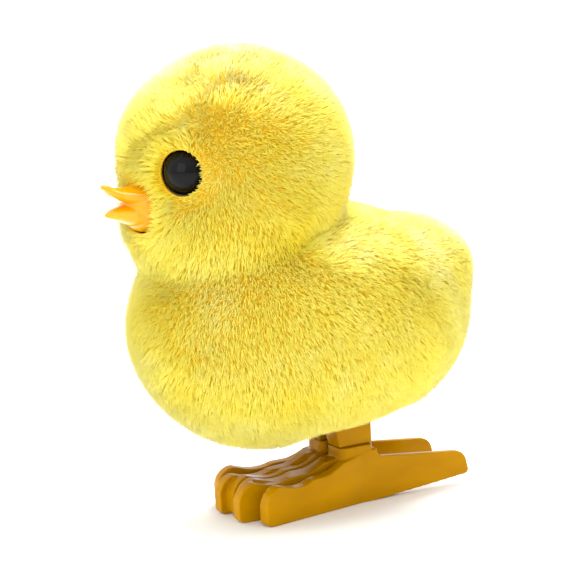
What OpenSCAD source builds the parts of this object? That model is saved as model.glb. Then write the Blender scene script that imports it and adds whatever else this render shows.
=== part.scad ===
// Wind-up hopping chick: a plush coat over a moulded form, with a clockwork inside that
// turns a cam and kicks two hinged legs. The chick looks along -Y, and its left is +X.

/* [Coat] */
// Height of the crown above the floor
total_h = 80; // [78:0.5:82]
// Width of the head over the pile
head_w = 37; // [36:0.5:39]
// Width of the body over the pile
body_w = 41; // [40:0.5:44]
// Length of the body over the pile
body_l = 62.6; // [61:0.2:65]
// Thickness of the coat, from the form to the tips of the pile
pile = 3.3; // [2.8:0.1:3.6]

/* [Face] */
// Diameter of an eye
eye_d = 7.2; // [6:0.1:8]
// Angle of each eye from straight ahead
eye_turn = 38; // [34:1:42]
// Width of the beak where it leaves the coat
beak_w = 10; // [8:0.5:11]

/* [Feet] */
// Length of a foot from its middle toe to its heel
foot_l = 45.5; // [44:0.5:48]
// Distance between the middles of the two feet
foot_gap = 6.6; // [6.5:0.1:8]
// Thickness of a toe
toe_w = 2.2; // [2:0.1:2.4]
// Height of a foot's collar, where the shin sits on it
collar_h = 10.1; // [9:0.1:10.8]

/* [Clockwork] */
// Size of the gear teeth (pitch diameter for each tooth)
gear_module = 0.4; // [0.4:0.01:0.42]
// Teeth on each large gear
wheel_teeth = 36; // [34:1:37]
// Teeth on each pinion
pinion_teeth = 12; // [12:1:13]
// Width of the space between the two case halves
case_space = 10.6; // [10.4:0.1:11]
// Distance that the key stands out from the middle of the chick
key_reach = 30; // [28:0.5:32]

/* [Hidden] */
$fn = 48;

yellow = [0.98, 0.9, 0.42];
amber = [0.93, 0.62, 0.06];
ivory = [0.93, 0.91, 0.84];
steel = [0.7, 0.71, 0.73];
brass = [0.8, 0.65, 0.3];

// The origin lies on the floor under the middle of the whole toy, key and beak included.
beak_y = -36.4;
mid_x = (key_reach - body_w / 2) / 2;
mid_y = -(beak_y + 32.7) / 2;
module seat() translate([mid_x, mid_y, 0]) children();

// Outer shape: five ellipsoids, each [middle, radii, tilt about X].
blend = 1.4;
core = [0, -5.2, total_h - 36];
head_r = [head_w / 2, 19.8, 18.7];
head_mid = [0, -11.5, total_h - head_r.z];
HEAD = [head_mid, head_r, 0];
CHEEKS = [head_mid + [0, -4, -9.6], [head_w / 2 - 2.5, 15.8, 13], 0];
CHEST = [[0, -9.4, 34.4], [body_w / 2 - 2, 20.6, 21.6], 0];
BODY = [[0, 0, 32.5], [body_w / 2, body_l / 2, 20.3], -2.2];
RUMP = [[0, 17, 38.2], [12.8, 15.9, 10.4], 5];
FORMS = [HEAD, CHEEKS, CHEST, BODY, RUMP];

function untilt(v, t) = [v.x, v.y * cos(t) + v.z * sin(t), v.z * cos(t) - v.y * sin(t)];
function over(v, r) = [v.x / r.x, v.y / r.y, v.z / r.z];
// How far a ray from the core runs before it leaves one ellipsoid (0 if it misses)
function ray_out(d, form, inset) =
    let (r = form[1] - [inset, inset, inset],
        p = over(untilt(core - form[0], form[2]), r),
        v = over(untilt(d, form[2]), r),
        a = v * v, b = p * v, q = b * b - a * (p * p - 1))
    q > 0 ? max((sqrt(q) - b) / a, 0) : 0;
function sum_of(v, i = 0) = i < len(v) ? v[i] + sum_of(v, i + 1) : 0;
// Smooth maximum, so that the forms run into each other in soft folds
function soft_max(v) = let (m = max(v)) m + blend * ln(sum_of([for (x = v) exp((x - m) / blend)]));
function reach(d, inset) = soft_max([for (f = FORMS) ray_out(d, f, inset)]);
function heading(i, j, rings, segs) =
    let (down = 180 * i / rings, round = 360 * j / segs)
    [sin(down) * cos(round), sin(down) * sin(round), cos(down)];

// The chick's outer shape, drawn in by inset on every side
module chick_shape(inset, rings, segs) {
    points = concat(
        [core + [0, 0, reach([0, 0, 1], inset)]],
        [for (i = [1:rings - 1], j = [0:segs - 1])
            let (d = heading(i, j, rings, segs)) core + d * reach(d, inset)],
        [core - [0, 0, reach([0, 0, -1], inset)]]);
    last = len(points) - 1;
    function at(i, j) = 1 + (i - 1) * segs + j % segs;
    faces = concat(
        [for (j = [0:segs - 1]) [0, at(1, j + 1), at(1, j)]],
        [for (i = [1:rings - 2], j = [0:segs - 1]) [at(i, j), at(i, j + 1), at(i + 1, j + 1)]],
        [for (i = [1:rings - 2], j = [0:segs - 1]) [at(i, j), at(i + 1, j + 1), at(i + 1, j)]],
        [for (j = [0:segs - 1]) [last, at(rings - 1, j), at(rings - 1, j + 1)]]);
    polyhedron(points, faces, convexity = 6);
}

// A flat shape drawn in Y and Z, from x0 to x1
module along_x(x0, x1) translate([x0, 0, 0]) rotate([90, 0, 90]) linear_extrude(x1 - x0) children();
module disc_x(x0, x1, at, r) along_x(x0, x1) translate(at) circle(r);
module rounded_rect(size, r) {
    square([size.x, size.y - 2 * r], center = true);
    square([size.x - 2 * r, size.y], center = true);
    for (x = [-1, 1], y = [-1, 1]) translate([x * (size.x / 2 - r), y * (size.y / 2 - r)]) circle(r);
}
function arc(mid, r, from, to, steps = 8) =
    [for (i = [0:steps]) let (a = from + (to - from) * i / steps) mid + r * [cos(a), sin(a)]];

// --- Face

face_gap = 0.25;
stem_r = 1.2;
form_inset = pile + 0.3;
form_wall = 1.4;
eye_r = eye_d / 2;
// Where an eye's rim and the top of its dome stand, out from the coat's surface
eye_sit = -2.2;
eye_rise = -0.1;
// Where an eye's axis meets the coat
eye_at = head_mid + [head_r.x * 0.563, -head_r.y * 0.827, -0.1];
beak_mid = [0, -31.2, 55];
module at_eye(side)
    translate([side * eye_at.x, eye_at.y, eye_at.z]) rotate([90, 0, side * eye_turn]) children();

module eye(side) {
    dome_h = eye_rise - eye_sit;
    ball_r = (eye_r * eye_r + dome_h * dome_h) / (2 * dome_h);
    at_eye(side) {
        intersection() {
            translate([0, 0, eye_rise - ball_r]) sphere(ball_r);
            translate([0, 0, eye_sit]) cylinder(r = eye_r, h = dome_h + 1);
        }
        translate([0, 0, -2.8]) cylinder(r = eye_r, h = eye_sit + 2.8);
        translate([0, 0, -8]) cylinder(r = stem_r, h = 6);
    }
}
module left_eye() color([0.05, 0.05, 0.06]) seat() eye(1);
module right_eye() color([0.05, 0.05, 0.06]) seat() eye(-1);

// Side outlines of the two halves of the open beak, as [y, z]
UPPER = concat([[-27.5, 56], [-33.4, 56.3], [-35.6, 57.4]], arc([-36, 59], 0.45, 290, 90, 4),
    arc([-32.2, 66.2], 7.6, 242, 288, 6), [[-27.5, 58.9]]);
LOWER = concat([[-27.5, 51.4]], arc([-29.6, 58.6], 7.2, 262, 224, 5), arc([-35.6, 54], 0.45, 250, 90, 4),
    [[-33.4, 56], [-27.5, 56.3]]);
// Top view: a blunt point as wide as the mouth at its root
mouth_half = beak_w / 2 - 0.9;
BEAK_PLAN = concat([[-mouth_half, 0.4], [-mouth_half, 0.2], [-3.1, -2.6]],
    arc([0, beak_y - beak_mid.y + 1.1], 1.1, 210, 330, 6),
    [[3.1, -2.6], [mouth_half, 0.2], [mouth_half, 0.4]]);
module beak() color(amber) seat() {
    intersection() {
        along_x(-beak_w, beak_w) {
            polygon(UPPER);
            polygon(LOWER);
        }
        translate([0, beak_mid.y, 0]) linear_extrude(total_h) polygon(BEAK_PLAN);
    }
    translate(beak_mid + [0, 2.9, 0]) rotate([90, 0, 0]) linear_extrude(2.6) beak_flange(0);
    translate(beak_mid + [0, 10, 0]) rotate([90, 0, 0]) cylinder(r = stem_r, h = 8);
}
module beak_flange(grow) rounded_rect([beak_w + 2 * grow, 8.4 + 2 * grow], 3 + grow);

washer_t = 0.6;
module washer() difference() {
    cylinder(r = 3, h = washer_t);
    translate([0, 0, -1]) cylinder(r = stem_r + 0.05, h = 3);
}
module face_washers() color(ivory) seat() {
    for (side = [-1, 1]) at_eye(side) translate([0, 0, -6.6]) washer();
    translate(beak_mid + [0, 6.9, 0]) rotate([90, 0, 0]) washer();
}

// --- Coat and form

leg_at = [foot_gap / 2, 7.15];
leg_hole = [16, 17.4];
leg_hole_y = 5;
key_stem_r = 2.6;

module face_holes(eye_hole, flange_gap) {
    for (side = [-1, 1]) at_eye(side) translate([0, 0, -9]) cylinder(r = eye_hole, h = 14);
    if (flange_gap > 0)
        translate(beak_mid + [0, 4.2, 0]) rotate([90, 0, 0]) linear_extrude(8) beak_flange(flange_gap);
}
module leg_opening() translate([0, leg_hole_y, 5]) linear_extrude(16) rounded_rect(leg_hole, 3);

module plush_cover() color(yellow) seat() difference() {
    chick_shape(0, 40, 60);
    chick_shape(pile, 24, 36);
    face_holes(eye_r + face_gap, face_gap);
    leg_opening();
    disc_x(-40, 0, main_at, key_stem_r + 1.2);
}

form_posts = [[23.5, 37], [-24, 36], [-9, 72]];
post_r = 2.6;
lug_post_r = 2;
// The form before it is split: a wall with screw posts standing inside it
module form_half(side) {
    half = side > 0 ? 0 : -60;
    difference() {
        intersection() {
            chick_shape(form_inset, 24, 36);
            translate([half, -60, 0]) cube([60, 120, 120]);
        }
        difference() {
            chick_shape(form_inset + form_wall, 24, 36);
            for (p = form_posts) disc_x(-30, 30, p, post_r);
            if (side > 0) for (p = lugs) disc_x(lug_x[1] + 0.05, 30, p, lug_post_r);
        }
        for (p = form_posts) {
            disc_x(-6, 7, p, screw_r + 0.05);
            disc_x(-30, -4, p, screw_head_r + 0.2);
        }
        if (side > 0) for (p = lugs) disc_x(0, 10, p, screw_r + 0.05);
        face_holes(stem_r + 0.1, 0);
        translate(beak_mid + [0, 12, 0]) rotate([90, 0, 0]) cylinder(r = stem_r + 0.1, h = 14);
        leg_opening();
        disc_x(-40, -8, main_at, key_stem_r + 0.5);
    }
}
module left_form() color(ivory) seat() form_half(1);
module right_form() color(ivory) seat() form_half(-1);

screw_r = 0.9;
screw_head_r = 1.7;
// A round-head screw along X: the underside of its head at x0, its tip at x1
module screw_x(x0, x1, at) {
    disc_x(x0, x1, at, screw_r);
    disc_x(x0 - 1.1, x0, at, screw_head_r);
    difference() {
        disc_x(x0 - 1.6, x0 - 1.1, at, screw_head_r - 0.4);
        along_x(x0 - 2, x0 - 1.2) translate(at) square([5, 0.5], center = true);
    }
}
module form_screws() color(steel) seat() for (p = form_posts) screw_x(-4, 6.5, p);

// --- Clockwork: every shaft lies along X, and places are [y, z]

main_at = [-3, 37];
cam_at = [-1, 26];
pivot_at = [9, 22.6];
arbor_r = 0.8;
main_arbor_r = 1;
run_gap = 0.05;
half_space = case_space / 2;
case_wall = 1;
case_out = half_space + case_wall;
case_min = [-12, 21.5];
case_max = [14.5, 46];
case_corners = [[-10.2, 24], [-10.2, 44], [9.5, 41.5]];
lugs = [[-14.2, 38], [16.6, 38]];
lug_x = [1, 3];

pressure = 25;
backlash = 0.07;
wheel_r = gear_module * wheel_teeth / 2;
pinion_r = gear_module * pinion_teeth / 2;
centre_gap = wheel_r + pinion_r;
// The second shaft stands one centre distance from both its neighbours.
between = cam_at - main_at;
span = norm(between);
second_at = (main_at + cam_at) / 2
    + sqrt(centre_gap * centre_gap - span * span / 4) * [-between.y, between.x] / span;
function direction(from, to) = atan2(to.y - from.y, to.x - from.x);

function involute(a) = tan(a) * 180 / PI - a;
// Half the angle that a tooth takes up at radius r
function tooth_half(teeth, r) =
    let (pitch_r = gear_module * teeth / 2, base_r = pitch_r * cos(pressure))
    (90 - backlash / gear_module * 90 / PI) / teeth + involute(pressure)
        - involute(acos(min(base_r / r, 1)));
module gear_outline(teeth) {
    pitch_r = gear_module * teeth / 2;
    root_r = pitch_r - 1.05 * gear_module;
    tip_r = pitch_r + 0.8 * gear_module;
    flank = [root_r, pitch_r - 0.4 * gear_module, pitch_r + 0.2 * gear_module, tip_r];
    polygon([for (k = [0:teeth - 1], side = [-1, 1], i = [0:3])
        let (r = flank[side < 0 ? i : 3 - i], a = 360 * k / teeth + side * tooth_half(teeth, r))
        r * [cos(a), sin(a)]]);
}
// A gear at a place, with one tooth (or, for a pinion, one gap) on the given line
module gear_at(teeth, at, line, bore_r, gap = false)
    translate(at) difference() {
        rotate(line + (gap ? 180 + 180 / teeth : 0)) gear_outline(teeth);
        circle(bore_r);
    }

main_line = direction(main_at, second_at);
cam_line = direction(second_at, cam_at);
gear_x = [-4.9, -3.5];
second_x = [2.4, 3.7];
spring_x = [-2.1, 1.8];
cam_x = [-1.5, 1.5];

module main_gear() color(brass) seat() difference() {
    along_x(gear_x[0], gear_x[1]) gear_at(wheel_teeth, main_at, main_line, main_arbor_r + run_gap);
    for (a = [0:60:300])
        disc_x(-9, 0, main_at + 4.9 * [cos(a), sin(a)], 1.2);
    disc_x(-9, 0, rivet_at, rivet_r + 0.02);
}
module second_gear() color(ivory) seat() {
    along_x(gear_x[0] + 0.1, second_x[0])
        gear_at(pinion_teeth, second_at, main_line, arbor_r + run_gap, true);
    along_x(second_x[0], second_x[1]) gear_at(wheel_teeth, second_at, cam_line, arbor_r + run_gap);
    along_x(second_x[1], half_space - 0.2) translate(second_at) difference() {
        circle(1.8);
        circle(arbor_r + run_gap);
    }
}
module cam_pinion() color(ivory) seat()
    along_x(cam_x[1], half_space - 0.2) gear_at(pinion_teeth, cam_at, cam_line, arbor_r, true);

cam_low = 1.5;
cam_high = 3.3;
// Snail cam: it lifts slowly and lets go at once
module hop_cam() color(ivory) seat() {
    along_x(cam_x[0], cam_x[1]) translate(cam_at) rotate(-80) difference() {
        polygon([for (a = [0:12:348]) (cam_low + (cam_high - cam_low) * a / 348) * [cos(a), sin(a)]]);
        circle(arbor_r);
    }
    along_x(-half_space + 0.2, cam_x[0]) translate(cam_at) difference() {
        circle(1.4);
        circle(arbor_r);
    }
}

// Steel pins turn in both case halves and stop just inside their outer faces.
module pin_x(at, r) disc_x(-case_out + 0.2, case_out - 0.2, at, r);
module second_arbor() color(steel) seat() pin_x(second_at, arbor_r);
module cam_arbor() color(steel) seat() pin_x(cam_at, arbor_r);
module leg_pivot() color(steel) seat() pin_x(pivot_at, main_arbor_r);
module winding_arbor() color(steel) seat() disc_x(-key_reach + 3, case_out - 0.2, main_at, main_arbor_r);

RATCHET_TEETH = 8;
ratchet_x = [-3.4, -2.4];
rivet_r = 0.4;
rivet_at = main_at + 5.5 * [cos(27), sin(27)];
module ratchet_wheel() color(steel) seat() along_x(ratchet_x[0], ratchet_x[1]) translate(main_at)
    difference() {
        polygon([for (k = [0:RATCHET_TEETH - 1], i = [0, 1])
            let (a = 360 * k / RATCHET_TEETH) (i == 0 ? 2.9 : 2.2) * [cos(a), sin(a)]]);
        circle(main_arbor_r);
    }
// A flat spring finger that drops behind the ratchet's teeth, riveted to the main gear
module ratchet_click() color(steel) seat() {
    along_x(ratchet_x[0] + 0.1, ratchet_x[1]) translate(main_at) rotate(60)
        polygon([[3, 0.2], [3.5, 0.1], [4.5, -2], [5.2, -2.6], [5.3, -3.4], [4.4, -3.8], [3.7, -3.1]]);
    disc_x(gear_x[0] + 0.2, ratchet_x[1] + 0.2, rivet_at, rivet_r);
}

spring_turns = 6;
spring_strip = 0.25;
spring_in = 1.6;
spring_out = 6.4;
spring_post_r = 0.6;
post_at = main_at + [-7.2, 0];
function spiral(t, side) =
    (spring_in + (spring_out - spring_in) * t + side * spring_strip / 2)
        * [cos(180 + 360 * spring_turns * t), sin(180 + 360 * spring_turns * t)];
module mainspring() color(steel) seat() along_x(spring_x[0], spring_x[1]) {
    steps = spring_turns * 18;
    translate(main_at) polygon(concat(
        [for (i = [0:steps]) spiral(i / steps, 1)],
        [for (i = [steps:-1:0]) spiral(i / steps, -1)]));
    // The outer end runs on to the post that holds it
    translate(post_at + [spring_post_r + 0.12, 0]) square([0.2, spring_strip], center = true);
}

// Case outline, open below so that the leg lever can swing out of it
mouth_y = [-5, 14.5];
module case_outline(inset) {
    size = case_max - case_min;
    difference() {
        translate((case_max + case_min) / 2) rounded_rect(size - 2 * [inset, inset], 2.5 - inset);
        // The upper rear corner is cut off, where the chick's back slopes down
        translate([case_max.x, case_max.y] - inset * [0.7, 0.7])
            polygon([[-9.5, 0.1], [0.1, -4.4], [0.1, 0.1]]);
    }
}
module case_half(side) {
    plate = side > 0 ? [half_space, case_out] : [-case_out, -half_space];
    wall = side > 0 ? [0.05, half_space] : [-half_space, -0.05];
    difference() {
        union() {
            along_x(plate[0], plate[1]) case_outline(0);
            along_x(wall[0], wall[1]) {
                difference() {
                    case_outline(0);
                    case_outline(case_wall);
                    translate([mouth_y[0], 0]) square([mouth_y[1] - mouth_y[0] + 1, 30]);
                }
                for (p = case_corners) translate(p) circle(1.6);
            }
            if (side > 0) {
                along_x(lug_x[0], lug_x[1]) for (p = lugs) lug(p);
                disc_x(spring_x[0], half_space, post_at, spring_post_r);
            }
        }
        for (at = [second_at, cam_at]) disc_x(-9, 9, at, arbor_r + run_gap);
        for (at = [main_at, pivot_at]) disc_x(-9, 9, at, main_arbor_r + run_gap);
        for (p = case_corners) disc_x(-5, 9, p, screw_r + 0.05);
        for (p = case_corners) disc_x(-9, -5, p, screw_head_r + 0.2);
        for (p = lugs) disc_x(-9, 9, p, screw_r + 0.05);
    }
}
module lug(p) {
    wall_y = p.x < 0 ? case_min.x : case_max.x;
    translate([(p.x + wall_y) / 2, p.y]) square([abs(p.x - wall_y) + 0.8, 4], center = true);
    translate(p) circle(2);
}
module left_case() color(ivory) seat() case_half(1);
module right_case() color(ivory) seat() case_half(-1);
module case_screws() color(steel) seat() for (p = case_corners) screw_x(-5, 5, p);
module case_mount_screws() color(steel) seat() for (p = lugs) screw_x(lug_x[0], 9, p);

// A moulded key: a stem through the coat and a flat paddle with rounded ends
paddle = [13, 3];
paddle_l = 6.8;
module winding_key() color(amber) seat() difference() {
    union() {
        disc_x(-key_reach + 4, -13, main_at, key_stem_r);
        disc_x(-key_reach + paddle_l, -key_reach + paddle_l + 1.2, main_at, 4.4);
        intersection() {
            along_x(-key_reach, -key_reach + paddle_l) translate(main_at) rounded_rect(paddle, 1.45);
            translate([-key_reach + paddle_l, main_at.x, 0]) linear_extrude(total_h) union() {
                translate([-2, 0]) square([4, paddle.x], center = true);
                for (y = [-1, 1]) translate([-3.8, y * (paddle.x / 2 - 3)]) circle(3);
                translate([-paddle_l / 2, 0]) square([paddle_l, paddle.x - 6], center = true);
            }
        }
    }
    disc_x(-key_reach + 3, 0, main_at, main_arbor_r);
}

// --- Legs

lever_x = 1.3;
nose_y = -2.6;
arm_top = cam_at.y - cam_high - 0.35;
bar_z = [17.3, 20.2];
bar_half = leg_at.x + 2.5;
hub_r = 2.4;
hub_x = [-4.6, 1.4];
module leg_lever() color(amber) seat() difference() {
    union() {
        disc_x(hub_x[0], hub_x[1], pivot_at, hub_r);
        // Follower arm, under the cam
        along_x(-lever_x, lever_x) {
            polygon([[pivot_at.x, arm_top - 1.9], [pivot_at.x, arm_top], [nose_y + 0.9, arm_top],
                [nose_y, arm_top - 0.8], [nose_y + 0.5, arm_top - 1.9]]);
        }
        // Web down to the crossbar
        along_x(hub_x[0], hub_x[1])
            polygon([[4.2, bar_z[1] - 0.1], [pivot_at.x - hub_r, pivot_at.y],
                [pivot_at.x + hub_r, pivot_at.y], [8.8, bar_z[1] - 0.1]]);
        translate([-bar_half, leg_at.y - 3.1, bar_z[0]])
            cube([2 * bar_half, 6.2, bar_z[1] - bar_z[0]]);
    }
    disc_x(-9, 9, pivot_at, main_arbor_r + run_gap);
    for (side = [-1, 1]) translate([side * leg_at.x, leg_at.y, 10]) cylinder(r = screw_r + 0.05, h = 12);
}

wire_r = 0.22;
coil_r = 1.7;
coil_turns = 5;
coil_x = [1.9, 4.7];
coil_steps = 14;
function coil_point(t) = [coil_x[0] + (coil_x[1] - coil_x[0]) * t,
    pivot_at.x + coil_r * cos(360 * coil_turns * t), pivot_at.y + coil_r * sin(360 * coil_turns * t)];
// Ring of 6 points round the wire at step i, across the coil's radius and the pivot's axis
function wire_ring(i, n) =
    let (t = i / n, p = coil_point(t), a = 360 * coil_turns * t, out = [0, cos(a), sin(a)])
    [for (k = [0:5]) p + wire_r * (out * cos(60 * k) + [1, 0, 0] * sin(60 * k))];
module leg_spring() color(steel) seat() {
    n = coil_turns * coil_steps;
    points = [for (i = [0:n]) each wire_ring(i, n)];
    faces = concat([[for (k = [0:5]) k]], [[for (k = [5:-1:0]) n * 6 + k]],
        [for (i = [0:n - 1], k = [0:5]) [i * 6 + k, (i + 1) * 6 + k, i * 6 + (k + 1) % 6]],
        [for (i = [0:n - 1], k = [0:5]) [i * 6 + (k + 1) % 6, (i + 1) * 6 + k, (i + 1) * 6 + (k + 1) % 6]]);
    polyhedron(points, faces, convexity = 8);
}

shin_t = 4;
// Where a shin's front and rear edges stand from its screw, at its top and on the collar
shin_top = [-5.5, 2.6];
shin_foot = [-3.9, 2.6];
SHIN_SIDE = [[shin_foot[0], collar_h + 0.05], [shin_foot[1], collar_h + 0.05],
    [shin_top[1], bar_z[0] - 0.05], [shin_top[0], bar_z[0] - 0.05]];
groove = 0.7;
module shin(side) difference() {
    translate([side * leg_at.x - shin_t / 2, leg_at.y, 0]) along_x(0, shin_t) polygon(SHIN_SIDE);
    translate([side * leg_at.x, leg_at.y, 0]) cylinder(r = screw_r + 0.15, h = 30);
    // Grooves that leave ribs on the inner face
    for (y = [-3.4:1.7:1.7])
        translate([side * (leg_at.x - shin_t / 2), leg_at.y + y, bar_z[0] - 2.6])
            cube([groove, groove, 3.6], center = true);
}
module left_shin() color(amber) seat() shin(1);
module right_shin() color(amber) seat() shin(-1);

toe_l = foot_l * 0.517;
heel_l = foot_l - toe_l;
toe_h = 6.6;
// Thickness of a heel blade
heel_w = 1.4;
// Height of the heel's edge behind the collar and at its end, and how far its underside rises
heel_top = [7.6, 6];
heel_rise = 1.5;
// Side outline of a toe that reaches l in front of the leg, as [y, z]
function toe_side(l) = concat([[0, 0], [-l + 1.2, 0]], arc([-l + 1.2, 1.2], 1.2, 270, 200, 3),
    arc([-l + 3.4, toe_h - 3.4], 3.4, 190, 95, 7), arc([-l + 7.4, toe_h + 7.1], 8, 252, 292, 6),
    arc([-l + 10, 20], 14, 285, 300, 4), [[0, collar_h - 1.4]]);
HEEL_SIDE = concat([[0, 0], [2.7, 0], [heel_l - 0.8, heel_rise]],
    arc([heel_l - 0.8, heel_rise + 0.8], 0.8, 280, 360, 3),
    arc([heel_l - 2.9, heel_top[1] - 2.6], 2.6, 20, 90, 5), arc([4.6, heel_top[0] + 1.6], 1.6, 270, 180, 5),
    [[0, collar_h - 1.4]]);
// Each toe: how far out from the foot's middle it starts and ends, and its length
TOES = [[-1.8, -2, toe_l - 1.4], [0, 0, toe_l], [1.8, 5.2, toe_l - 2.2]];
// Half the width under the collar, where the heel blade's outer side runs on into the outer toe's
foot_half = TOES[2][0] + toe_w / 2;
// One foot: three toes that fan out from the leg, a thin heel blade on its outer side and the collar
module foot(side) {
    translate([side * leg_at.x, leg_at.y, 0]) difference() {
        union() {
            for (t = TOES)
                translate([side * t[0], 0, 0]) rotate([0, 0, side * atan((t[1] - t[0]) / t[2])])
                    along_x(-toe_w / 2, toe_w / 2) polygon(toe_side(t[2]));
            translate([side * (foot_half - heel_w / 2), 0, 0])
                along_x(-heel_w / 2, heel_w / 2) polygon(HEEL_SIDE);
            linear_extrude(collar_h) translate([0, (shin_foot[0] + shin_foot[1]) / 2])
                rounded_rect([2 * foot_half - 0.2, shin_foot[1] - shin_foot[0] + 0.2], 1.4);
        }
        translate([0, 0, -1]) cylinder(r = screw_r + 0.15, h = 30);
        translate([0, 0, -1]) cylinder(r = screw_head_r + 0.2, h = 1 + 1.8);
    }
}
module left_foot() color(amber) seat() foot(1);
module right_foot() color(amber) seat() foot(-1);

// Screws from the soles up into the crossbar; their heads sit inside the soles
module leg_screws() color(steel) seat() for (side = [-1, 1])
    translate([side * leg_at.x, leg_at.y, 0]) {
        translate([0, 0, 0.6]) cylinder(r = screw_head_r, h = 1.2);
        translate([0, 0, 1.8]) cylinder(r = screw_r, h = bar_z[1] - 2.2);
    }

plush_cover();
beak();
left_eye();
right_eye();
left_foot();
right_foot();
left_shin();
right_shin();
winding_key();
left_form();
right_form();
form_screws();
face_washers();
left_case();
right_case();
case_screws();
case_mount_screws();
winding_arbor();
mainspring();
main_gear();
ratchet_wheel();
ratchet_click();
second_arbor();
second_gear();
cam_arbor();
cam_pinion();
hop_cam();
leg_lever();
leg_pivot();
leg_spring();
leg_screws();
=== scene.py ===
import math

import bmesh
import bpy
import numpy as np
from mathutils import Matrix, Vector


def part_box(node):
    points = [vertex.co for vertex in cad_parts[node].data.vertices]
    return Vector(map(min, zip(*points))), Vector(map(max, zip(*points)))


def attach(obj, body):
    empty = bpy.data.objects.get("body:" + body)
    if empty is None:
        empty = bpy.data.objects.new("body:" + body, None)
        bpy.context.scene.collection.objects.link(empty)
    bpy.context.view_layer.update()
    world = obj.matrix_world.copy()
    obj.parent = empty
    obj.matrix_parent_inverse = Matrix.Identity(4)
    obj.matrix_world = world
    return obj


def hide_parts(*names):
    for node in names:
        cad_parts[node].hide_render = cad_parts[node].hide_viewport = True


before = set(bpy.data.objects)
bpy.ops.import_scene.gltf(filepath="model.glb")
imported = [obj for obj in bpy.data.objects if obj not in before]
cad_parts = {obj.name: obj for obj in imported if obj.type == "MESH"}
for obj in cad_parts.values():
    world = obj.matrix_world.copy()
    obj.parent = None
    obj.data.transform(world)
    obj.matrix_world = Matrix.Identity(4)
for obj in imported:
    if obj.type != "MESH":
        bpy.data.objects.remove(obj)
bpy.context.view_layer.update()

# All shapes are worked out in millimetres in the chick's own coordinates: X = 0 is its middle,
# it looks along -Y, and Z = 0 is the floor. place() moves them into the row frame, in metres.
MM = 0.001
SIDES = {"left": 1, "right": -1}
# The leg pivot's Y in the chick's own coordinates
PIVOT_Y = 9.0
# Keeps unit() from dividing by nothing
TINY = 1e-9


def chick_origin():
    """The chick's own origin in the row frame, in millimetres, found from the leg pivot."""
    low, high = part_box("leg_pivot")
    return np.array([(low.x + high.x) / 2 / MM, (low.y + high.y) / 2 / MM - PIVOT_Y, 0.0])


ORIGIN = chick_origin()


def place(points):
    """Points in the chick's millimetres, moved into the row frame in metres."""
    return (np.asarray(points, float).reshape(-1, 3) + ORIGIN) * MM


def unit(v):
    return v / np.maximum(np.linalg.norm(v, axis=-1, keepdims=True), TINY)


def add_object(name, data):
    obj = bpy.data.objects.new(name, data)
    bpy.context.scene.collection.objects.link(obj)
    return obj


# ---------------------------------------------------------------- camera and light

# The camera stands off from VIEW_MIDDLE in this direction and looks at VIEW_AIM, turned by the roll
VIEW_AZIMUTH = 60.0
VIEW_ELEVATION = 10.5
VIEW_DISTANCE = 380.0
VIEW_ROLL = 2.3
VIEW_MIDDLE = (0.0, 0.0, 40.0)
VIEW_AIM = (0.0, -2.69, 38.13)
LENS = 139.6
SENSOR = 36.0
CLIP_START = 0.01

# The room gets brighter upwards and towards the far side, as in front of a lit white sweep
ROOM_SLOPE = (-0.45, -0.15, 0.8)
ROOM_SPAN = (-0.9, 0.9)
ROOM_STRENGTH = (0.77, 1.72)

# Softboxes, in metres and watts: name, place, the point it faces, side length, power
LIGHTS = [
    ("top_light", (0.0, 0.05, 0.8), (0, 0, 0.04), 0.5, 5.5),
    ("rim_light", (-0.3, 0.3, 0.5), (0, 0, 0.04), 0.2, 2.5),
    ("face_light", (0.5, -1.0, 0.5), (0, 0, 0.06), 0.8, 2.8),
]


def add_camera():
    data = bpy.data.cameras.new("camera")
    data.lens = LENS
    data.sensor_width = SENSOR
    data.clip_start = CLIP_START
    camera = add_object("camera", data)
    a, e = math.radians(VIEW_AZIMUTH), math.radians(VIEW_ELEVATION)
    away = np.array([math.sin(a) * math.cos(e), -math.cos(a) * math.cos(e), math.sin(e)])
    at = Vector(place(np.array(VIEW_MIDDLE) + VIEW_DISTANCE * away)[0])
    aim = Vector(place(VIEW_AIM)[0])
    back = (at - aim).normalized()
    right = Vector((0, 0, 1)).cross(back).normalized()
    up = back.cross(right)
    turn = Matrix((right, up, back)).transposed() @ Matrix.Rotation(-math.radians(VIEW_ROLL), 3, "Z")
    camera.matrix_world = Matrix.Translation(at) @ turn.to_4x4()
    bpy.context.scene.camera = camera


def add_softbox(name, at, aim, size, watts):
    data = bpy.data.lights.new(name, "AREA")
    data.shape = "SQUARE"
    data.size = size
    data.energy = watts
    light = add_object(name, data)
    light.location = at
    light.rotation_euler = (Vector(at) - Vector(aim)).to_track_quat("Z", "Y").to_euler()


def add_world():
    world = bpy.data.worlds.new("studio")
    bpy.context.scene.world = world
    world.use_nodes = True
    tree = world.node_tree
    spot = tree.nodes.new("ShaderNodeTexCoord").outputs["Generated"]
    slope = tree.nodes.new("ShaderNodeVectorMath")
    slope.operation = "DOT_PRODUCT"
    slope.inputs[1].default_value = ROOM_SLOPE
    tree.links.new(spot, slope.inputs[0])
    grade = tree.nodes.new("ShaderNodeMapRange")
    grade.interpolation_type = "SMOOTHSTEP"
    for socket, value in zip(("From Min", "From Max", "To Min", "To Max"), (*ROOM_SPAN, *ROOM_STRENGTH)):
        grade.inputs[socket].default_value = value
    tree.links.new(slope.outputs["Value"], grade.inputs["Value"])
    tree.links.new(grade.outputs["Result"], tree.nodes["Background"].inputs["Strength"])
    tree.nodes["Background"].inputs["Color"].default_value = (1.0, 1.0, 1.0, 1)


# ---------------------------------------------------------------- materials

# Noise values rarely leave this range
NOISE_RANGE = (0.3, 0.7)

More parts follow.
